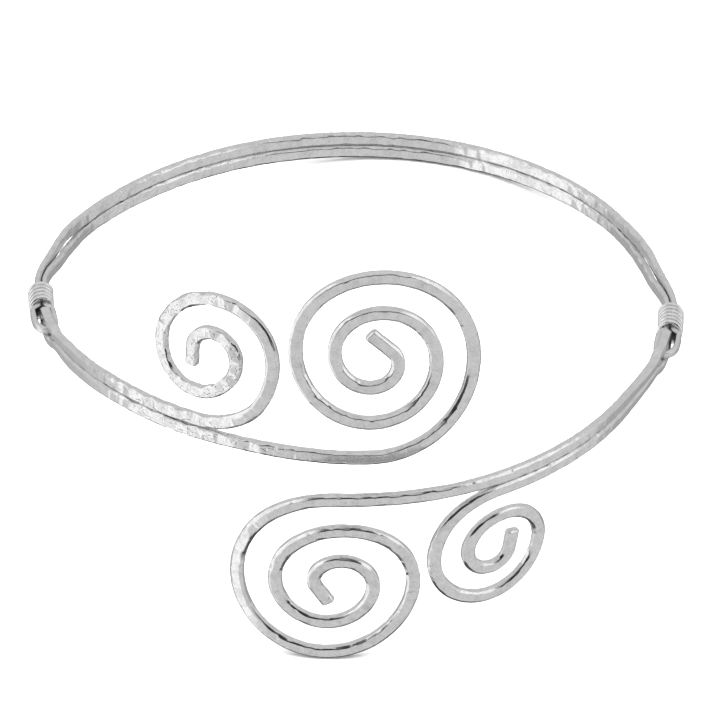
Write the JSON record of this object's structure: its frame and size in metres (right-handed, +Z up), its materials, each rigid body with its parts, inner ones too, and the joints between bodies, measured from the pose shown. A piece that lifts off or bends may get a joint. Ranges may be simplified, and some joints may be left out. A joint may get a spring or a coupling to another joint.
{
  "type": "spiral arm ring",
  "caption": "Open arm ring of flat hammered silver-tone wire: a doubled back hoop with bound eyes and two hinged front arms, each ending in a large and a small spiral.",
  "frame": {"origin": "middle of the ground that the ring covers as it lies by itself", "axes": "+Z up, -Y towards the spirals at the front, +X to the right as seen from the front"},
  "size_m": [0.0926, 0.0921, 0.0556],
  "materials": {
    "hoop_wire": "silver tone, lightly planished, polished flats with bright bevelled edges",
    "binding_wire": "silver tone, bright drawn round wire, dark between the turns",
    "arm_wire": "silver tone, hammered facets, polished flats with bright bevelled edges"
  },
  "bodies": {
    "hoop": {"back_hoop": "hoop_wire", "left_binding": "binding_wire", "right_binding": "binding_wire"},
    "upper_arm": {"upper_arm": "arm_wire"},
    "lower_arm": {"lower_arm": "arm_wire"}
  },
  "joints": [
    {"name": "upper_arm_swing", "type": "hinge", "parent": "hoop", "child": "upper_arm", "pos_m": [-0.04309, -0.0017, 0.02205], "axis": [-0.9626, -0.2184, 0.1605], "range_deg": [-8, 14]},
    {"name": "lower_arm_swing", "type": "hinge", "parent": "hoop", "child": "lower_arm", "pos_m": [0.04335, -0.0084, 0.01651], "axis": [-0.9694, 0.2454, 0.0048], "range_deg": [-10, 12]}
  ]
}
